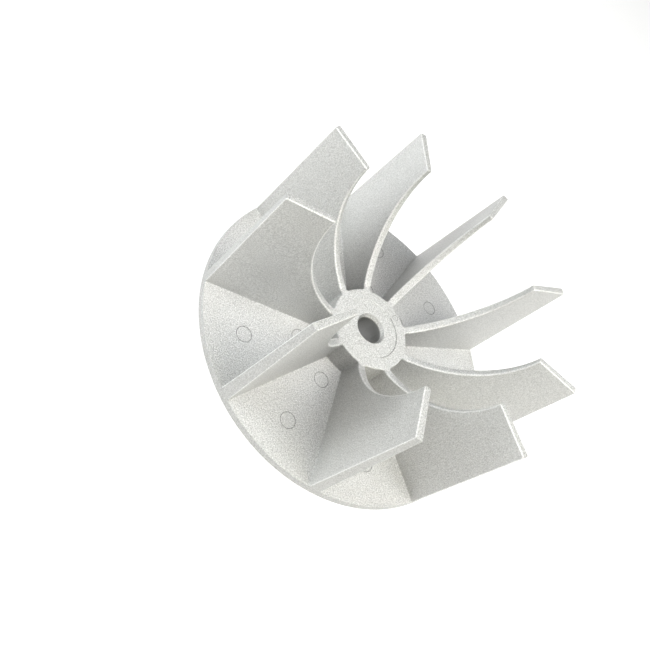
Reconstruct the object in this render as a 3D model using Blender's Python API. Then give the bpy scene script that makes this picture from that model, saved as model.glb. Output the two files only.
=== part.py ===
"""Impeller of a centrifugal fan, cast in one piece with nine straight radial blades.

The impeller lies on the back of its disc, where z is zero. Its axis is +Z, the air
enters from above, and the first blade points along +X. All sizes are in metres.

The casting repeats every 40 degrees and each repeat is mirror-symmetric, so half of
one repeat is described here: from a blade's middle plane to the middle of the channel
beside it. Points of that half are worked out from the driving dimensions, its faces
are mirrored and turned round the axis, and the seams are welded.
"""
import math

import bmesh
import bpy
from mathutils import Matrix, Vector

BLADE_COUNT = 9

DISC_DIAMETER = 0.170
DISC_THICKNESS = 0.0042
RIM_DRAFT = 0.0003
RIM_BACK_CHAMFER = 0.0005

BLADE_HEIGHT = 0.0706
BLADE_TIP_DIAMETER = 0.1658
INLET_DIAMETER = 0.1184
BLADE_FOOT_THICKNESS = 0.0061
BLADE_DRAFT = math.radians(1.0)
BLADE_TAPER = math.radians(0.66)

HUB_DIAMETER = 0.0445
HUB_HEIGHT = 0.0145
HUB_DRAFT = 0.0002
LAND_DIAMETER = 0.0320
LAND_DEPTH = 0.0003
LAND_DRAFT = 0.0001

BORE_DIAMETER = 0.0140
LEAD_IN_DIAMETER = 0.0166
LEAD_IN_DEPTH = 0.0024
BACK_CHAMFER = 0.0005

CORNER_FILLET = 0.0012
ROOT_FILLET = 0.0006

INLET_SEGMENTS = 14
CORNER_SEGMENTS = 3
HUB_SEGMENTS = 3
FILLET_SEGMENTS = 3
CHANNEL_RIM_SEGMENTS = 5
ROUND_SEGMENTS = 4
WELD_DISTANCE = 0.000001

HALF_PITCH = math.pi / BLADE_COUNT
FRONT_RADIUS = DISC_DIAMETER / 2 - RIM_DRAFT


def blade_half_thickness(radius, height):
    """Half the blade's thickness: it gets thinner from the disc up and from the rim in."""
    thinner_up = math.tan(BLADE_DRAFT) * height
    thinner_in = math.tan(BLADE_TAPER) * (FRONT_RADIUS - radius)
    return BLADE_FOOT_THICKNESS / 2 - thinner_up - thinner_in


def hub_radius(height):
    return HUB_DIAMETER / 2 - HUB_DRAFT * height / HUB_HEIGHT


def outer_edge_radius(height):
    """Radius of the blades' outer edges, which lean in a little towards the top."""
    lean = (FRONT_RADIUS - BLADE_TIP_DIAMETER / 2) / BLADE_HEIGHT
    return FRONT_RADIUS - lean * height


def on_side(radius, height, off=0.0):
    """Point at a distance from the axis, a height above the disc and off the blade's side."""
    slope = math.tan(BLADE_TAPER)
    at_axis = blade_half_thickness(0.0, height) + off
    stretch = 1 + slope ** 2
    along = (math.sqrt(radius ** 2 * stretch - at_axis ** 2) - slope * at_axis) / stretch
    return Vector((along, at_axis + slope * along, height))


def corner_centre(height):
    """Centre of the fillet between a blade's side and the hub."""
    return on_side(
        hub_radius(height) + CORNER_FILLET, height, CORNER_FILLET / math.cos(BLADE_TAPER)
    )


def polar(radius, angle, height):
    return Vector((radius * math.cos(angle), radius * math.sin(angle), height))


def between(first, last, share):
    return first + (last - first) * share


def spread(first, last, segments):
    """Evenly spaced values from first to last, both included."""
    return [between(first, last, step / segments) for step in range(segments + 1)]


def wall_stations():
    """Places along the channel's wall, as functions of a height and a distance off it.

    The wall runs in from the rim along the blade, turns round the corner fillet, and
    follows the hub to the middle of the channel.
    """
    def at_rim(height, off):
        return on_side(outer_edge_radius(height), height, off)

    def on_corner(share):
        def place(height, off):
            centre = corner_centre(height)
            last = math.atan2(centre.y, centre.x) - math.pi
            turn = between(BLADE_TAPER - math.pi / 2, last, share)
            return centre + polar(CORNER_FILLET - off, turn, 0.0)
        return place

    def on_hub(share):
        def place(height, off):
            centre = corner_centre(height)
            angle = between(math.atan2(centre.y, centre.x), HALF_PITCH, share)
            return polar(hub_radius(height) + off, angle, height)
        return place

    corner = [on_corner(share) for share in spread(0.0, 1.0, CORNER_SEGMENTS)]
    hub = [on_hub(share) for share in spread(0.0, 1.0, HUB_SEGMENTS)[1:]]
    return [at_rim] + corner + hub


def root_profile(station):
    """Cross-section of the root fillet at one station, from the floor up to the wall."""
    points = []
    for turn in spread(0.0, math.pi / 2, FILLET_SEGMENTS):
        off = ROOT_FILLET * (1 - math.sin(turn))
        height = ROOT_FILLET * (1 - math.cos(turn))
        points.append(station(height, off))
    return points


def inlet_edge():
    """Radius and height along the concave inlet edge, from the blade's top to the hub.

    The edge is an arc that leaves the top at a right angle and ends at the hub's face.
    """
    top_radius = INLET_DIAMETER / 2
    end = wall_stations()[1](HUB_HEIGHT, 0.0)
    across = top_radius - math.hypot(end.x, end.y)
    drop = BLADE_HEIGHT - HUB_HEIGHT
    arc_radius = (across ** 2 + drop ** 2) / (2 * across)
    sweep = math.asin(drop / arc_radius)
    centre = top_radius - arc_radius
    return [
        (centre + arc_radius * math.cos(turn), BLADE_HEIGHT - arc_radius * math.sin(turn))
        for turn in spread(0.0, sweep, INLET_SEGMENTS)
    ]


def blade_outline():
    """Side view of the blade above its root fillet: outer edge, top and inlet edge."""
    tip = (outer_edge_radius(BLADE_HEIGHT), BLADE_HEIGHT)
    return [(outer_edge_radius(ROOT_FILLET), ROOT_FILLET), tip] + inlet_edge()


def channel_faces(stations, profiles):
    """Walls, fillets and floor of half a channel."""
    side = [on_side(radius, height) for radius, height in blade_outline()]
    faces = [side + [profiles[1][-1]]]

    for near, far in zip(stations[1:], stations[2:]):
        faces.append([
            near(ROOT_FILLET, 0.0),
            near(HUB_HEIGHT, 0.0),
            far(HUB_HEIGHT, 0.0),
            far(ROOT_FILLET, 0.0),
        ])
    for near, far in zip(profiles, profiles[1:]):
        for low in range(FILLET_SEGMENTS):
            faces.append([near[low], near[low + 1], far[low + 1], far[low]])

    floor_ends = [profile[0] for profile in profiles]
    faces.append(rim_points(floor_ends[0], 0.0) + floor_ends[:0:-1])
    return faces, side


def rim_points(start, height):
    """Points along the rim's front edge, from a blade's root to the channel's middle."""
    first = math.atan2(start.y, start.x)
    angles = spread(first, HALF_PITCH, CHANNEL_RIM_SEGMENTS)
    return [polar(FRONT_RADIUS, angle, height) for angle in angles]


def envelope_faces(side, profiles):
    """Blade edges and rim: the surfaces that close the casting round the channels."""
    faces = []
    foot = profiles[0]
    edge = foot[:-1] + side
    middle = [Vector((outer_edge_radius(point.z), 0.0, point.z)) for point in foot[:-1]]
    middle += [Vector((radius, 0.0, height)) for radius, height in blade_outline()]
    for low in range(len(edge) - 1):
        faces.append([edge[low], edge[low + 1], middle[low + 1], middle[low]])

    front = [middle[0]] + rim_points(foot[0], 0.0)
    back_radius = DISC_DIAMETER / 2
    rings = [
        (back_radius, RIM_BACK_CHAMFER - DISC_THICKNESS),
        (back_radius - RIM_BACK_CHAMFER, -DISC_THICKNESS),
    ]
    upper = front
    for radius, height in rings:
        lower = [polar(radius, math.atan2(point.y, point.x), height) for point in front]
        for step in range(len(front) - 1):
            faces.append([upper[step], upper[step + 1], lower[step + 1], lower[step]])
        upper = lower
    return faces, upper


def hub_faces(stations, inner_end, back_rim):
    """Hub's face with its sunk land, the bore, and the back of the disc."""
    bore = BORE_DIAMETER / 2
    land = HUB_HEIGHT - LAND_DEPTH
    rings = [
        (LAND_DIAMETER / 2, HUB_HEIGHT),
        (LAND_DIAMETER / 2 - LAND_DRAFT, land),
        (LEAD_IN_DIAMETER / 2, land),
        (bore, land - LEAD_IN_DEPTH),
        (bore, BACK_CHAMFER - DISC_THICKNESS),
        (bore + BACK_CHAMFER, -DISC_THICKNESS),
    ]
    angles = spread(0.0, HALF_PITCH, ROUND_SEGMENTS)
    loops = [[polar(radius, angle, height) for angle in angles] for radius, height in rings]
    outline = [inner_end] + [station(HUB_HEIGHT, 0.0) for station in stations[1:]]
    faces = [outline + loops[0][::-1]]
    for outer, inner in zip(loops, loops[1:]):
        for step in range(ROUND_SEGMENTS):
            faces.append([outer[step], outer[step + 1], inner[step + 1], inner[step]])
    faces.append(loops[-1] + back_rim[::-1])
    return faces


def half_repeat():
    """Faces from a blade's middle plane to the middle of the channel beside it."""
    stations = wall_stations()
    profiles = [root_profile(station) for station in stations]
    faces, side = channel_faces(stations, profiles)
    envelope, back_rim = envelope_faces(side, profiles)
    inner_radius, inner_height = inlet_edge()[-1]
    inner_end = Vector((inner_radius, 0.0, inner_height))
    return faces + envelope + hub_faces(stations, inner_end, back_rim)


def casting_mesh():
    """The whole casting: half a repeat, mirrored, turned round the axis and welded."""
    half = half_repeat()
    mirror = Matrix.Scale(-1, 3, Vector((0, 1, 0)))
    lift = Vector((0.0, 0.0, DISC_THICKNESS))
    body = bmesh.new()
    for blade in range(BLADE_COUNT):
        turn = Matrix.Rotation(2 * HALF_PITCH * blade, 3, "Z")
        for placing in (turn, turn @ mirror):
            for face in half:
                body.faces.new([body.verts.new(placing @ point + lift) for point in face])
    bmesh.ops.remove_doubles(body, verts=body.verts, dist=WELD_DISTANCE)
    bmesh.ops.recalc_face_normals(body, faces=body.faces)
    mesh = bpy.data.meshes.new("impeller_casting")
    body.to_mesh(mesh)
    body.free()
    return mesh


def cast_aluminium():
    """Shot-blasted cast aluminium."""
    material = bpy.data.materials.new("cast_aluminium")
    material.use_nodes = True
    shader = material.node_tree.nodes["Principled BSDF"]
    shader.inputs["Base Color"].default_value = (0.72, 0.73, 0.73, 1.0)
    shader.inputs["Roughness"].default_value = 0.5
    shader.inputs["Metallic"].default_value = 0.9
    return material


def main():
    for thing in list(bpy.data.objects):
        bpy.data.objects.remove(thing, do_unlink=True)
    mesh = casting_mesh()
    mesh.materials.append(cast_aluminium())
    mesh.shade_smooth()
    mesh.set_sharp_from_angle(angle=math.radians(30))
    casting = bpy.data.objects.new("impeller_casting", mesh)
    bpy.context.scene.collection.objects.link(casting)


main()
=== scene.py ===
import math

import bmesh
import bpy
from mathutils import Matrix, Vector, kdtree


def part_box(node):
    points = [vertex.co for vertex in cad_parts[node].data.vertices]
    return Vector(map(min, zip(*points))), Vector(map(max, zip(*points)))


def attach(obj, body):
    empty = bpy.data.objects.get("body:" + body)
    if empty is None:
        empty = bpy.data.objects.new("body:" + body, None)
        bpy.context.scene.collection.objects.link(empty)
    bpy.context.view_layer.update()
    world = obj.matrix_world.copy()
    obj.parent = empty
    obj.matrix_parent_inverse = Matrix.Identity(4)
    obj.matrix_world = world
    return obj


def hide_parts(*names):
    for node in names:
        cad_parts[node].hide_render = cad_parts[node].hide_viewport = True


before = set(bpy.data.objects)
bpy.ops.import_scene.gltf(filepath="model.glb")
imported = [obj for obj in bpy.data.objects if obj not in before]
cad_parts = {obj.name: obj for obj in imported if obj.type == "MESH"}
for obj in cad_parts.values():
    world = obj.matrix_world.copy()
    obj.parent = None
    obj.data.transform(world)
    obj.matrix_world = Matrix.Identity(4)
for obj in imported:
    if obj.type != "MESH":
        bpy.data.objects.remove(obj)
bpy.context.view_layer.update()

CASTING = "impeller_casting"
BODY = "root"
BOX_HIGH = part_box(CASTING)[1]

# Sizes of the casting, in metres. The disc's radius and the overall height come from the frame.
DISC_RADIUS = min(BOX_HIGH.x, BOX_HIGH.y)
DISC_THICKNESS = 0.0042
RIM_DRAFT = 0.0003
RIM_BACK_CHAMFER = 0.0005
BLADE_COUNT = 9
BLADE_HEIGHT = BOX_HIGH.z - DISC_THICKNESS
BLADE_TIP_RADIUS = 0.0829
INLET_RADIUS = 0.0592
BLADE_FOOT_THICKNESS = 0.0061
BLADE_DRAFT = math.radians(1.0)
BLADE_TAPER = math.radians(0.66)
HUB_RADIUS = 0.02225
HUB_HEIGHT = 0.0145
HUB_DRAFT = 0.0002
LAND_RADIUS = 0.0160
LAND_DEPTH = 0.0003
LAND_DRAFT = 0.0001
BORE_RADIUS = 0.0070
LEAD_IN_RADIUS = 0.0083
LEAD_IN_DEPTH = 0.0024
BACK_CHAMFER = 0.0005
CORNER_FILLET = 0.0012
ROOT_FILLET = 0.0006
HALF_PITCH = math.pi / BLADE_COUNT
FRONT_RADIUS = DISC_RADIUS - RIM_DRAFT

# Rounding that the die and the blasting leave on the outer edges.
RIM_ROUNDING = 0.00042
BLADE_ROUNDING = 0.00065
INLET_ROUNDING = 0.0011
HUB_ROUNDING = 0.0008
TIP_ROUNDING = 0.0008
INLET_CORNER_ROUNDING = 0.0007
LAND_ROUNDING = 0.00012
BORE_ROUNDING = 0.0002
RIM_BACK_ROUNDING = 0.0004
WIDEST_ROUNDING = INLET_ROUNDING

# Ejector-pin marks in each channel, at two distances from the axis: a fine groove
# round a pad that lies a little lower than the disc.
MARK_DISTANCES = (0.0646, 0.0343)
MARK_RADIUS = 0.0042
MARK_GROOVE = 0.0005
MARK_DEPTH = 0.00022
PAD_DEPTH = 0.00012

# One more pin left a fainter mark on the hub's face, in line with the middle of a channel.
HUB_MARK_DISTANCE = 0.0191
HUB_MARK_ANGLE = -7 * HALF_PITCH
HUB_MARK_RADIUS = 0.0016
HUB_MARK_SHARE = 0.6

# Painted shadow: a dark line along the land's step, on one side of the hub only.
STEP_SHADOW_ANGLE = math.radians(167)
STEP_SHADOW_START = 0.006
STEP_SHADOW_FADE = 0.004
STEP_SHADOW_WIDTH = 0.0004

# Finish of the metal: scales are in repeats to the metre, tones run from 0 for dark grain to
# 1 for light grain, and the grain has more contrast on level faces than on upright ones.
GRAIN_SCALE = 1700.0
GRAIN_DETAIL = 3.0
GRAIN_HARSHNESS = 0.65
GRAIN_DEPTH = 0.0001
SIDE_GRAIN = 4.2
FACE_GRAIN = 6.2
CLOUD_SCALE = 45.0
CLOUD_DETAIL = 2.0
CLOUD_HARSHNESS = 0.5
CLOUD_CONTRAST = 0.3
NOISE_MIDDLE = 0.5
MIDDLE_TONE = 0.5
DARK_GRAIN = (0.55, 0.551, 0.547, 1.0)
LIGHT_GRAIN = (0.75, 0.751, 0.747, 1.0)
METALLIC = 0.85
BLASTED_ROUGHNESS = 0.6
ROUGHNESS_SPREAD = 0.3
LEAD_IN_POLISH = 0.2

# Painted light and shade on level faces: a little lighter on the disc and the hub, and darker on
# the blades' tops.
DISC_PAINTED_LIGHT = 0.2
TOP_PAINTED_SHADE = -0.12

# Painted shade: walls get darker towards the axis, where the channels are deep, from this radius
# in, and fully after this stretch.
DEEP_RADIUS = 0.050
DEEP_FADE = 0.028
DEEP_PAINTED_SHADE = 0.65

# Outside the first radius the blades' outward faces get painted shade, and outside the second
# their rounded edges get a painted highlight.
OUTER_SHADE_RADIUS = 0.0822
OUTER_PAINTED_SHADE = 0.5
EDGE_HIGHLIGHT_RADIUS = 0.0245
EDGE_PAINTED_HIGHLIGHT = 1.2

# Painted shade that the lines of pin marks and the step's shadow take off the tone, and the
# painted shade inside the bore.
LINE_PAINTED_SHADE = 1.4
BORE_PAINTED_SHADE = -1.2

# Colour sockets of a Mix node, which also has number and vector sockets of the same names.
MIX_FIRST = 6
MIX_SECOND = 7
MIX_RESULT = 2

# Softboxes that face the middle of the casting: name, direction, watts and tint.
SOFTBOX_DISTANCE = 1.0
SOFTBOX_SIZE = 0.4
SOFTBOXES = (
    ("overhead_right", (0.150, 0.087, 0.985), 4.02, (0.98, 0.99, 0.965)),
    ("overhead_left", (-0.150, 0.087, 0.985), 2.16, (0.95, 0.9, 1.0)),
    ("high_front", (-0.101, 0.443, 0.891), 1.36, (1.0, 0.94, 0.6)),
    ("high_left", (-0.409, 0.197, 0.891), 3.52, (1.0, 0.955, 0.9)),
    ("high_back", (-0.409, -0.197, 0.891), 1.07, (0.85, 0.99, 0.99)),
    ("warm_front", (-0.219, 0.672, 0.707), 1.52, (1.0, 0.95, 0.9)),
    ("left_front", (-0.572, 0.416, 0.707), 1.90, (0.9, 0.985, 0.935)),
    ("middle_front", (-0.229, 0.853, 0.469), 0.95, (1.0, 0.98, 0.7)),
    ("middle_right", (0.853, -0.229, 0.469), 3.19, (0.955, 0.985, 0.975)),
    ("low_right", (0.978, 0.0, 0.208), 2.95, (0.94, 0.985, 0.97)),
)
SURROUNDINGS_STRENGTH = 0.12
WHITE = (1.0, 1.0, 1.0, 1.0)

# Floor just under the casting: half its width, how far it lies below, and its finish.
FLOOR_REACH = 3.0
FLOOR_DROP = 0.0001
FLOOR_GREY = (0.45, 0.45, 0.45, 1.0)
FLOOR_ROUGHNESS = 0.7
FLOOR_GLOW = 0.65

# Camera: place in metres, turns in degrees, lens and sensor in millimetres, shifts as shares
# of the picture's width.
CAMERA_PLACE = (0.16768, 0.18732, 0.26101)
CAMERA_TURNS = (30.615, -32.587, -173.405)
CAMERA_LENS = 38.64
CAMERA_SENSOR = 36.0
CAMERA_SHIFT = (0.0150, -0.0324)
CAMERA_CLIP_START = 0.01

# Straight pieces that each curve of the mesh has.
INLET_SEGMENTS = 48
CORNER_SEGMENTS = 6
HUB_SEGMENTS = 8
FILLET_SEGMENTS = 5
RIM_SEGMENTS = 16
ROUND_SEGMENTS = 12
MARK_SEGMENTS = 20
ROUNDING_SEGMENTS = 4
WELD_DISTANCE = 0.000001


def between(first, last, share):
    return first + (last - first) * share


def spread(first, last, segments):
    """Evenly spaced values from first to last, both included."""
    return [between(first, last, step / segments) for step in range(segments + 1)]


def polar(radius, angle, height):
    return Vector((radius * math.cos(angle), radius * math.sin(angle), height))


def rounded(corners, radii):
    """Outline through flat corners, with an arc of its own radius at each inner corner."""
    points = [Vector(corners[0])]
    for before, corner, after, radius in zip(corners, corners[1:], corners[2:], radii):
        corner = Vector(corner)
        back = (Vector(before) - corner).normalized()
        ahead = (Vector(after) - corner).normalized()
        half_angle = back.angle(ahead) / 2
        middle = (back + ahead).normalized()
        centre = corner + middle * radius / math.sin(half_angle)
        first = corner + back * radius / math.tan(half_angle) - centre
        last = corner + ahead * radius / math.tan(half_angle) - centre
        for share in spread(0.0, 1.0, ROUNDING_SEGMENTS):
            points.append(centre + first.slerp(last, share).normalized() * radius)
    points.append(Vector(corners[-1]))
    return points


def blade_half_thickness(radius, height):
    """Half the blade's thickness: it gets thinner from the disc up and from the rim in."""
    thinner_up = math.tan(BLADE_DRAFT) * height
    thinner_in = math.tan(BLADE_TAPER) * (FRONT_RADIUS - radius)
    return BLADE_FOOT_THICKNESS / 2 - thinner_up - thinner_in


def on_side(radius, height, off=0.0):
    """Point at a distance from the axis, a height above the disc and off the blade's side."""
    slope = math.tan(BLADE_TAPER)
    at_axis = blade_half_thickness(0.0, height) + off
    stretch = 1 + slope ** 2
    along = (math.sqrt(radius ** 2 * stretch - at_axis ** 2) - slope * at_axis) / stretch
    return Vector((along, at_axis + slope * along, height))


def outer_edge_radius(height):
    """Radius of the blades' outer edges, which lean in a little towards the top."""
    lean = (FRONT_RADIUS - BLADE_TIP_RADIUS) / BLADE_HEIGHT
    return FRONT_RADIUS - lean * height


def hub_radius(height):
    return HUB_RADIUS - HUB_DRAFT * height / HUB_HEIGHT


def corner_centre(height):
    """Centre of the fillet between a blade's side and the hub."""
    return on_side(
        hub_radius(height) + CORNER_FILLET, height, CORNER_FILLET / math.cos(BLADE_TAPER)
    )


def wall_stations():
    """Places along the channel's wall, as functions of a height and a distance off it.

    The wall runs in from the rim along the blade, turns round the corner fillet, and
    follows the hub to the middle of the channel.
    """
    def at_rim(height, off):
        return on_side(outer_edge_radius(height), height, off)

    def on_corner(share):
        def place(height, off):
            centre = corner_centre(height)
            last = math.atan2(centre.y, centre.x) - math.pi
            turn = between(BLADE_TAPER - math.pi / 2, last, share)
            return centre + polar(CORNER_FILLET - off, turn, 0.0)
        return place

    def on_hub(share):
        def place(height, off):
            centre = corner_centre(height)
            angle = between(math.atan2(centre.y, centre.x), HALF_PITCH, share)
            return polar(hub_radius(height) + off, angle, height)
        return place

    corner = [on_corner(share) for share in spread(0.0, 1.0, CORNER_SEGMENTS)]
    hub = [on_hub(share) for share in spread(0.0, 1.0, HUB_SEGMENTS)[1:]]
    return [at_rim] + corner + hub


def root_profile(station):
    """Cross-section of the root fillet at one station, from the floor up to the wall."""
    points = []
    for turn in spread(0.0, math.pi / 2, FILLET_SEGMENTS):
        off = ROOT_FILLET * (1 - math.sin(turn))
        height = ROOT_FILLET * (1 - math.cos(turn))
        points.append(station(height, off))
    return points


def blade_outline():
    """Side view of the blade above its root fillet, as radius and height.

    It runs up the outer edge, round the tip, along the top and round the inlet corner,
    then down the concave inlet edge: an arc that leaves the top at a right angle and
    ends on the hub's face.
    """
    end = wall_stations()[1](HUB_HEIGHT, 0.0)
    across = INLET_RADIUS - math.hypot(end.x, end.y)
    drop = BLADE_HEIGHT - HUB_HEIGHT
    arc_radius = (across ** 2 + drop ** 2) / (2 * across)
    sweep = math.asin(drop / arc_radius)
    centre = INLET_RADIUS - arc_radius
    inlet = [
        (centre + arc_radius * math.cos(turn), BLADE_HEIGHT - arc_radius * math.sin(turn))
        for turn in spread(0.0, sweep, INLET_SEGMENTS)
    ]
    foot = (outer_edge_radius(ROOT_FILLET), ROOT_FILLET)
    tip = (outer_edge_radius(BLADE_HEIGHT), BLADE_HEIGHT)
    upper = rounded([foot, tip, inlet[0], inlet[1]], [TIP_ROUNDING, INLET_CORNER_ROUNDING])
    return [tuple(point) for point in upper] + inlet[2:]


def half_mark(distance):
    """Half an ejector-pin mark: rings from its outside in, each from the outer end round."""
    centre = polar(distance, HALF_PITCH, 0.0)
    rings = [
        (MARK_RADIUS, 0.0),
        (MARK_RADIUS - MARK_GROOVE / 2, -MARK_DEPTH),
        (MARK_RADIUS - MARK_GROOVE, -PAD_DEPTH),
    ]
    turns = [HALF_PITCH - turn for turn in spread(0.0, math.pi, MARK_SEGMENTS)]
    return [[centre + polar(reach, turn, height) for turn in turns] for reach, height in rings]


def strips(rows):
    """Faces between each row of points and the next."""
    return [
        [near[step], near[step + 1], far[step + 1], far[step]]
        for near, far in zip(rows, rows[1:])
        for step in range(len(near) - 1)
    ]


def rim_rows(angles):
    """Rows of points round the rim, from its front edge over its side to the back."""
    profile = rounded(
        [
            (FRONT_RADIUS, 0.0),
            (DISC_RADIUS, RIM_BACK_CHAMFER - DISC_THICKNESS),
            (DISC_RADIUS - RIM_BACK_CHAMFER, -DISC_THICKNESS),
            (DISC_RADIUS - 2 * RIM_BACK_CHAMFER, -DISC_THICKNESS),
        ],
        [RIM_BACK_ROUNDING, RIM_BACK_ROUNDING],
    )
    return [[polar(radius, angle, height) for angle in angles] for radius, height in profile]


def bore_rows():
    """Rows of points from the hub's face over the land's step and down the bore to the back."""
    land_top = HUB_HEIGHT - LAND_DEPTH
    profile = rounded(
        [
            (LAND_RADIUS + 2 * LAND_ROUNDING, HUB_HEIGHT),
            (LAND_RADIUS, HUB_HEIGHT),
            (LAND_RADIUS - LAND_DRAFT, land_top),
            (LEAD_IN_RADIUS, land_top),
            (BORE_RADIUS, land_top - LEAD_IN_DEPTH),
            (BORE_RADIUS, BACK_CHAMFER - DISC_THICKNESS),
            (BORE_RADIUS + BACK_CHAMFER, -DISC_THICKNESS),
        ],
        [LAND_ROUNDING, LAND_ROUNDING, BORE_ROUNDING, BORE_ROUNDING, BORE_ROUNDING],
    )
    turns = spread(0.0, HALF_PITCH, ROUND_SEGMENTS)
    return [[polar(radius, turn, height) for turn in turns] for radius, height in profile]


def half_repeat():
    """Faces from a blade's middle plane to the middle of the channel beside it.

    Also gives the lines whose edges get rounded, each with the radius of its rounding: along
    the rim and up the foot of the blade, up and over the blade, down its inlet edge, and
    along the hub.
    """
    stations = wall_stations()
    profiles = [root_profile(station) for station in stations]
    outline = blade_outline()
    foot = profiles[0]
    side = [on_side(radius, height) for radius, height in outline]
    floor_ends = [profile[0] for profile in profiles]
    wall_line = [profile[-1] for profile in profiles[1:]]
    hub_line = [station(HUB_HEIGHT, 0.0) for station in stations[1:]]
    rim_angles = spread(math.atan2(foot[0].y, foot[0].x), HALF_PITCH, RIM_SEGMENTS)
    rim_line = [polar(FRONT_RADIUS, angle, 0.0) for angle in rim_angles]
    edge_line = foot[:-1] + side
    middle_line = [Vector((outer_edge_radius(point.z), 0.0, point.z)) for point in foot[:-1]]
    middle_line += [Vector((radius, 0.0, height)) for radius, height in outline]

    faces = [side + wall_line[:1]]
    faces += strips([wall_line, hub_line]) + strips(profiles)
    floor = rim_line[:]
    for distance in MARK_DISTANCES:
        rings = half_mark(distance)
        floor += rings[0]
        faces += strips(rings) + [rings[-1]]
    faces.append(floor + floor_ends[:0:-1])
    faces += strips([edge_line, middle_line])

    rim = rim_rows([0.0] + rim_angles)
    bore = bore_rows()
    faces += strips(rim) + strips(bore)
    faces.append([middle_line[-1]] + hub_line + bore[0][::-1])
    faces.append(bore[-1] + rim[-1][::-1])

    top_of_inlet = len(side) - INLET_SEGMENTS
    edges = (
        (rim_line[::-1] + foot[1:-1] + side[:1], RIM_ROUNDING),
        (side[:top_of_inlet + 1], BLADE_ROUNDING),
        (side[top_of_inlet:], INLET_ROUNDING),
        (hub_line, HUB_ROUNDING),
    )
    return faces, edges


def weigh_edges(body, lines):
    """Gives the edges along each line their share of the widest rounding."""
    body.verts.ensure_lookup_table()
    finder = kdtree.KDTree(len(body.verts))
    for number, vert in enumerate(body.verts):
        finder.insert(vert.co, number)
    finder.balance()
    weight = body.edges.layers.float.new("bevel_weight_edge")
    for line, radius in lines:
        spots = [finder.find(point)[1] for point in line]
        for first, last in zip(spots, spots[1:]):
            edge = body.edges.get((body.verts[first], body.verts[last]))
            edge[weight] = radius / WIDEST_ROUNDING


def casting_piece():
    """The whole casting: half a repeat, mirrored, turned round the axis and welded."""
    faces, edges = half_repeat()
    mirror = Matrix.Scale(-1, 3, Vector((0, 1, 0)))
    lift = Vector((0.0, 0.0, DISC_THICKNESS))
    placings = []
    for blade in range(BLADE_COUNT):
        turn = Matrix.Rotation(2 * HALF_PITCH * blade, 3, "Z")
        placings += [turn, turn @ mirror]

    body = bmesh.new()
    for placing in placings:
        for face in faces:
            body.faces.new([body.verts.new(placing @ point + lift) for point in face])
    bmesh.ops.remove_doubles(body, verts=body.verts, dist=WELD_DISTANCE)
    bmesh.ops.recalc_face_normals(body, faces=body.faces)
    weigh_edges(body, [
        ([placing @ point + lift for point in line], radius)
        for placing in placings
        for line, radius in edges
    ])

    mesh = bpy.data.meshes.new("cast_wheel")
    body.to_mesh(mesh)
    body.free()
    mesh.shade_smooth()
    piece = bpy.data.objects.new("cast_wheel", mesh)
    bpy.context.scene.collection.objects.link(piece)
    rounding = piece.modifiers.new("edge_rounding", "BEVEL")
    rounding.limit_method = "WEIGHT"
    rounding.width = WIDEST_ROUNDING
    rounding.segments = ROUNDING_SEGMENTS
    rounding.use_clamp_overlap = False
    even = piece.modifiers.new("flat_faces_stay_flat", "WEIGHTED_NORMAL")
    even.keep_sharp = False
    return piece


class Value:
    """Wraps an output socket, so that arithmetic on it adds Math nodes."""

    def __init__(self, socket):
        self.socket = socket

    @staticmethod
    def node(tree, kind, settings=None, inputs=None, output=0):
        """Adds any node: its settings first, then the values or links of its sockets."""
        made = tree.nodes.new(kind)
        for name, setting in (settings or {}).items():
            setattr(made, name, setting)
        for name, given in (inputs or {}).items():
            if isinstance(given, Value):
                tree.links.new(given.socket, made.inputs[name])
            else:
                made.inputs[name].default_value = given
        return Value(made.outputs[output])

    def __add__(self, other):
        return number_math("ADD", self, other)

    def __radd__(self, other):
        return number_math("ADD", other, self)

    def __sub__(self, other):
        return number_math("SUBTRACT", self, other)

    def __rsub__(self, other):
        return number_math("SUBTRACT", other, self)

    def __mul__(self, other):
        return number_math("MULTIPLY", self, other)

    def __rmul__(self, other):
        return number_math("MULTIPLY", other, self)

    def __truediv__(self, other):
        return number_math("DIVIDE", self, other)

    def __lt__(self, other):
        return number_math("LESS_THAN", self, other)

    def __gt__(self, other):
        return number_math("GREATER_THAN", self, other)


def number_math(operation, first, second=0.0):
    """Math node on two numbers, of which at least one is a wrapped socket."""
    tree = (first if isinstance(first, Value) else second).socket.id_data
    return Value.node(tree, "ShaderNodeMath", {"operation": operation}, {0: first, 1: second})


def absolute(value):
    return number_math("ABSOLUTE", value)


def within_unit(value):
    """The value, held between 0 and 1."""
    return number_math("MINIMUM", number_math("MAXIMUM", value, 0.0), 1.0)


def vector_math(operation, first, second=(0.0, 0.0, 0.0), output="Vector"):
    """Vector Math node on a wrapped vector and another, with the vector or the number it gives."""
    tree = first.socket.id_data
    return Value.node(
        tree, "ShaderNodeVectorMath", {"operation": operation}, {0: first, 1: second}, output
    )


def components(vector):
    """X, Y and Z of a wrapped vector."""
    tree = vector.socket.id_data
    split = Value.node(tree, "ShaderNodeSeparateXYZ", inputs={"Vector": vector})
    return [Value(split.socket.node.outputs[axis]) for axis in "XYZ"]


def noise(place, scale, detail, harshness):
    """Noise from 0 to 1, with a scale in repeats to the metre."""
    return Value.node(
        place.socket.id_data,
        "ShaderNodeTexNoise",
        {"noise_dimensions": "3D"},
        {"Vector": place, "Scale": scale, "Detail": detail, "Roughness": harshness},
        "Fac",
    )


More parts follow.
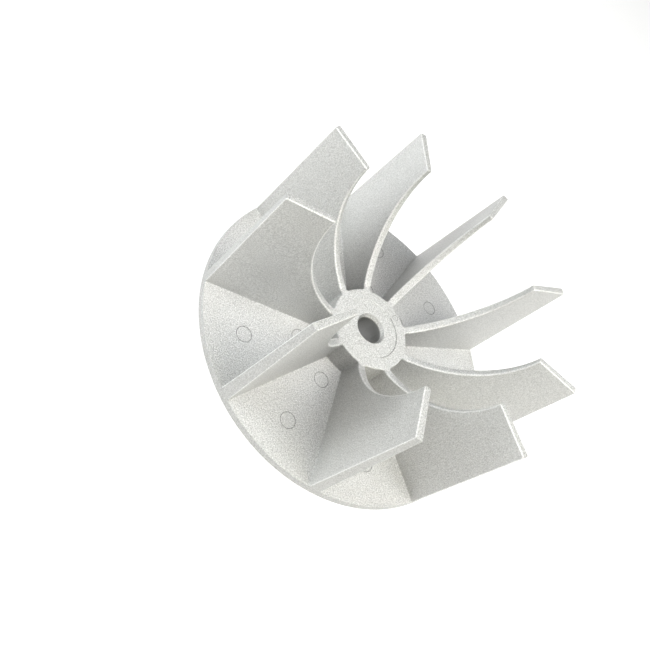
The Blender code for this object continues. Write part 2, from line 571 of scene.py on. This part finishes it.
def pin_mark_shade_lines(place, from_axis):
    """Masks of the rings that the ejector pins left on the disc and on the hub's face, painted
    dark as shade.
    """
    along, aside, height = components(place)
    angle = number_math("ARCTAN2", aside, along)
    from_blade = number_math("PINGPONG", angle, HALF_PITCH)
    across = number_math("COSINE", HALF_PITCH - from_blade)
    on_disc = absolute(height - DISC_THICKNESS) < 2 * MARK_DEPTH
    lines = 0.0
    for distance in MARK_DISTANCES:
        apart = from_axis * from_axis + distance ** 2 - from_axis * across * (2 * distance)
        apart = number_math("SQRT", apart)
        ring = absolute(apart - (MARK_RADIUS - MARK_GROOVE / 2)) < MARK_GROOVE / 2
        lines = lines + ring * on_disc
    # The hub's ring is a painted shade line with a bump, and has no groove in the mesh.
    centre = polar(HUB_MARK_DISTANCE, HUB_MARK_ANGLE, DISC_THICKNESS + HUB_HEIGHT)
    from_mark = vector_math("DISTANCE", place, centre, "Value")
    return lines + (absolute(from_mark - HUB_MARK_RADIUS) < MARK_GROOVE / 2) * HUB_MARK_SHARE


def land_step_shadow(place, from_axis):
    """Mask of a painted shadow line along the land's step, on one side of the hub only."""
    toward = vector_math("DOT_PRODUCT", place, polar(1.0, STEP_SHADOW_ANGLE, 0.0), "Value")
    share = within_unit((toward - STEP_SHADOW_START) * (1 / STEP_SHADOW_FADE))
    line = absolute(from_axis - (LAND_RADIUS - LAND_DRAFT)) < STEP_SHADOW_WIDTH / 2
    return line * share


def painted_light_and_shade(height, from_axis, upright, radial):
    """Painted light and shade that level faces, deep walls, outward faces and rounded edges add to
    the tone.

    The last two say how far the surface faces up or down, and away from the axis.
    """
    hub_top = DISC_THICKNESS + HUB_HEIGHT
    outward = number_math("MAXIMUM", radial, 0.0)
    sideways = 1 - upright * upright - radial * radial

    # Painted light on the level faces of the disc and the hub, painted shade on the blades' tops.
    low = height < hub_top + 2 * HUB_ROUNDING
    level = upright * (TOP_PAINTED_SHADE + (DISC_PAINTED_LIGHT - TOP_PAINTED_SHADE) * low)

    # Painted shade on the walls and the hub's foot near the axis, deep in the channels.
    inwards = within_unit((DEEP_RADIUS - from_axis) * (1 / DEEP_FADE))
    deep = inwards * (sideways + outward * (height < hub_top - HUB_ROUNDING))

    # Painted shade on faces that look away from the axis, near the rim.
    outer_shade = outward * (from_axis > OUTER_SHADE_RADIUS)

    # Painted highlight: a product that is 0 on flat sides and level faces, and 1 halfway round an
    # edge.
    edge_highlight = 4 * sideways * (1 - sideways)
    edge_highlight = edge_highlight * (from_axis > EDGE_HIGHLIGHT_RADIUS) * (height > DISC_THICKNESS + ROOT_FILLET)

    darker = deep * DEEP_PAINTED_SHADE + outer_shade * OUTER_PAINTED_SHADE
    return level + edge_highlight * EDGE_PAINTED_HIGHLIGHT - darker


def cast_aluminium():
    """Shot-blasted die casting: fine grain on soft grey metal, with painted light and shade, and a
    bore painted dark as shade.
    """
    material = bpy.data.materials.new("cast_aluminium")
    material.use_nodes = True
    tree = material.node_tree
    shader = tree.nodes["Principled BSDF"]
    place = Value.node(tree, "ShaderNodeTexCoord", output="Object")
    normal = Value.node(tree, "ShaderNodeNewGeometry", output="Normal")
    height = components(place)[2]
    upright = absolute(components(normal)[2])
    flat_place = vector_math("MULTIPLY", place, (1.0, 1.0, 0.0))
    from_axis = vector_math("LENGTH", flat_place, output="Value")
    radial = vector_math("DOT_PRODUCT", normal, flat_place, "Value") / from_axis

    grain = noise(place, GRAIN_SCALE, GRAIN_DETAIL, GRAIN_HARSHNESS)
    cloud = noise(place, CLOUD_SCALE, CLOUD_DETAIL, CLOUD_HARSHNESS)
    contrast = SIDE_GRAIN + (FACE_GRAIN - SIDE_GRAIN) * upright
    speckle = (grain - NOISE_MIDDLE) * contrast + (cloud - NOISE_MIDDLE) * CLOUD_CONTRAST
    cast_tone = speckle + MIDDLE_TONE + painted_light_and_shade(height, from_axis, upright, radial)
    # The pin-mark rings and the step's line are painted shade.
    lines = pin_mark_shade_lines(place, from_axis) + land_step_shadow(place, from_axis)
    bored = from_axis < BORE_RADIUS + BORE_ROUNDING
    # Inside the bore the tone is painted shade; the pin-mark and step lines take painted shade off
    # the tone.
    tone = cast_tone * (1 - bored) + bored * BORE_PAINTED_SHADE - lines * LINE_PAINTED_SHADE
    colour = Value.node(
        tree,
        "ShaderNodeMix",
        {"data_type": "RGBA", "clamp_factor": False},
        {"Factor": tone, MIX_FIRST: DARK_GRAIN, MIX_SECOND: LIGHT_GRAIN},
        MIX_RESULT,
    )

    polish = (from_axis < LEAD_IN_RADIUS) * LEAD_IN_POLISH
    rough = BLASTED_ROUGHNESS + (grain - NOISE_MIDDLE) * ROUGHNESS_SPREAD - polish
    relief = grain * contrast - lines
    bump = Value.node(
        tree,
        "ShaderNodeBump",
        inputs={"Strength": 1.0, "Distance": GRAIN_DEPTH, "Height": relief},
    )
    tree.links.new(colour.socket, shader.inputs["Base Color"])
    tree.links.new(rough.socket, shader.inputs["Roughness"])
    tree.links.new(bump.socket, shader.inputs["Normal"])
    shader.inputs["Metallic"].default_value = METALLIC
    return material


def plain_floor():
    """Plain pale floor under the casting, lit evenly from below like a light table."""
    mesh = bpy.data.meshes.new("floor")
    corners = [(-1, -1), (1, -1), (1, 1), (-1, 1)]
    mesh.from_pydata(
        [(x * FLOOR_REACH, y * FLOOR_REACH, -FLOOR_DROP) for x, y in corners], [], [(0, 1, 2, 3)]
    )
    floor = bpy.data.objects.new("floor", mesh)
    bpy.context.scene.collection.objects.link(floor)
    material = bpy.data.materials.new("pale_floor")
    material.use_nodes = True
    shader = material.node_tree.nodes["Principled BSDF"]
    shader.inputs["Base Color"].default_value = FLOOR_GREY
    shader.inputs["Roughness"].default_value = FLOOR_ROUGHNESS
    shader.inputs["Emission Color"].default_value = WHITE
    shader.inputs["Emission Strength"].default_value = FLOOR_GLOW
    mesh.materials.append(material)


def soft_light(name, direction, watts, tint):
    """Square softbox that faces the middle of the casting."""
    light = bpy.data.lights.new(name, "AREA")
    light.shape = "SQUARE"
    light.size = SOFTBOX_SIZE
    light.energy = watts
    light.color = tint
    lamp = bpy.data.objects.new(name, light)
    lamp.location = Vector(direction).normalized() * SOFTBOX_DISTANCE
    lamp.rotation_euler = Vector(direction).to_track_quat("Z", "Y").to_euler()
    bpy.context.scene.collection.objects.link(lamp)


def photo_camera():
    """Camera at the photograph's viewing angle."""
    data = bpy.data.cameras.new("camera")
    data.sensor_width = CAMERA_SENSOR
    data.lens = CAMERA_LENS
    data.shift_x, data.shift_y = CAMERA_SHIFT
    data.clip_start = CAMERA_CLIP_START
    camera = bpy.data.objects.new("camera", data)
    camera.location = CAMERA_PLACE
    camera.rotation_euler = [math.radians(turn) for turn in CAMERA_TURNS]
    bpy.context.scene.collection.objects.link(camera)
    bpy.context.scene.camera = camera


def surroundings():
    """Even, dim white surroundings, with tones shown as they are."""
    world = bpy.data.worlds.new("surroundings")
    world.use_nodes = True
    background = world.node_tree.nodes["Background"]
    background.inputs["Color"].default_value = WHITE
    background.inputs["Strength"].default_value = SURROUNDINGS_STRENGTH
    bpy.context.scene.world = world
    bpy.context.scene.view_settings.view_transform = "Standard"


photo_camera()
surroundings()
plain_floor()
for name, direction, watts, tint in SOFTBOXES:
    soft_light(name, direction, watts, tint)

wheel = casting_piece()
wheel.data.materials.append(cast_aluminium())
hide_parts(CASTING)
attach(wheel, BODY)
